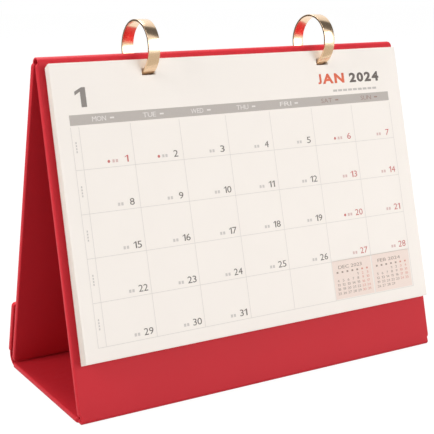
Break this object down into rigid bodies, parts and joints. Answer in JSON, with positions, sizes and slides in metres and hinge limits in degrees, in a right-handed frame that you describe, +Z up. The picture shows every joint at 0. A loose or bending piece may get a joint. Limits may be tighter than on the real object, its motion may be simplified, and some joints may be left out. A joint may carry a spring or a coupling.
{
  "type": "standing desk calendar",
  "caption": "Standing desk calendar: a folded easel of red covered board with a block of month leaves hung on flat gold rings at its ridge.",
  "frame": {"origin": "on the table, under the middle of the calendar's box", "axes": "+X along the calendar to the reader's right, +Y from the leaves to the back, +Z up"},
  "size_m": [0.2176, 0.088, 0.1823],
  "materials": {
    "cover": "thick board wrapped in smooth matt red leatherette",
    "leaves": "uncoated warm white card with a printed month grid",
    "rings": "polished pale rose gold"
  },
  "bodies": {
    "root": {"cover": "cover", "leaves": "leaves", "ring_left": "rings", "ring_right": "rings"}
  },
  "joints": []
}
